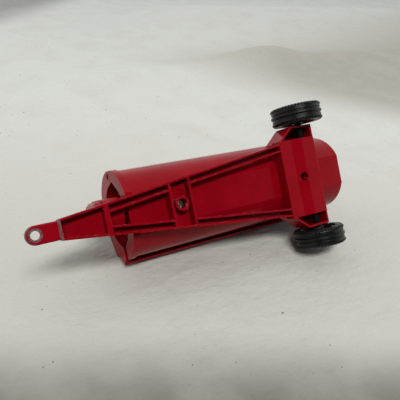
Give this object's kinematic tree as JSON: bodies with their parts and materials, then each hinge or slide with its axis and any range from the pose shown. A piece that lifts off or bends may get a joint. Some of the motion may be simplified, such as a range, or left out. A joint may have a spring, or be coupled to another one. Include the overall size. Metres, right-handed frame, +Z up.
{
  "type": "toy side-discharge trailer",
  "caption": "Die-cast toy farm trailer: round body with a hinged lid and side discharge slot on a V-shaped frame with an eye hitch and ridged tyres.",
  "frame": {"origin": "on the ground under the middle of the bounding box, with the wheels and the frame level", "axes": "+X forward to the hitch eye, +Y to the trailer's left, +Z up"},
  "size_m": [0.2042, 0.0898, 0.0681],
  "materials": {
    "frame_paint": "glossy red enamel, worn at the edges",
    "body_paint": "glossy red enamel",
    "red_plastic": "gloss",
    "black_plastic": "satin",
    "tyre_rubber": "satin",
    "bare_steel": "satin",
    "dark_steel": "blackened"
  },
  "bodies": {
    "trailer": {"chassis": "frame_paint", "drum_shell": "body_paint", "front_end_plate": "body_paint", "rear_end_plate": "body_paint", "front_hinge_pin": "body_paint", "rear_hinge_pin": "body_paint", "front_bush": "black_plastic", "rear_bush": "black_plastic", "drive_case": "red_plastic", "drive_cover": "red_plastic", "axle": "dark_steel", "left_axle_cap": "black_plastic", "right_axle_cap": "black_plastic", "front_body_screw": "bare_steel", "rear_body_screw": "bare_steel"},
    "lid": {"lid": "body_paint"},
    "rotor": {"rotor_shaft": "bare_steel", "rotor_paddle_1": "black_plastic", "rotor_paddle_2": "black_plastic", "rotor_paddle_3": "black_plastic", "rotor_paddle_4": "black_plastic", "rotor_paddle_5": "black_plastic", "rotor_paddle_6": "black_plastic"},
    "left_wheel": {"left_tyre": "tyre_rubber", "left_hub": "black_plastic"},
    "right_wheel": {"right_tyre": "tyre_rubber", "right_hub": "black_plastic"}
  },
  "joints": [
    {"name": "lid_hinge", "type": "hinge", "parent": "trailer", "child": "lid", "pos_m": [0, 0.0226, 0.04383], "axis": [-1, 0, 0], "range_deg": [0, 85]},
    {"name": "rotor_spin", "type": "hinge", "parent": "trailer", "child": "rotor", "pos_m": [0, 0, 0.04223], "axis": [1, 0, 0], "continuous": true},
    {"name": "left_wheel_spin", "type": "hinge", "parent": "trailer", "child": "left_wheel", "pos_m": [-0.0705, 0.0394, 0.016], "axis": [0, 1, 0], "continuous": true},
    {"name": "right_wheel_spin", "type": "hinge", "parent": "trailer", "child": "right_wheel", "pos_m": [-0.0705, -0.0394, 0.016], "axis": [0, 1, 0], "continuous": true}
  ]
}
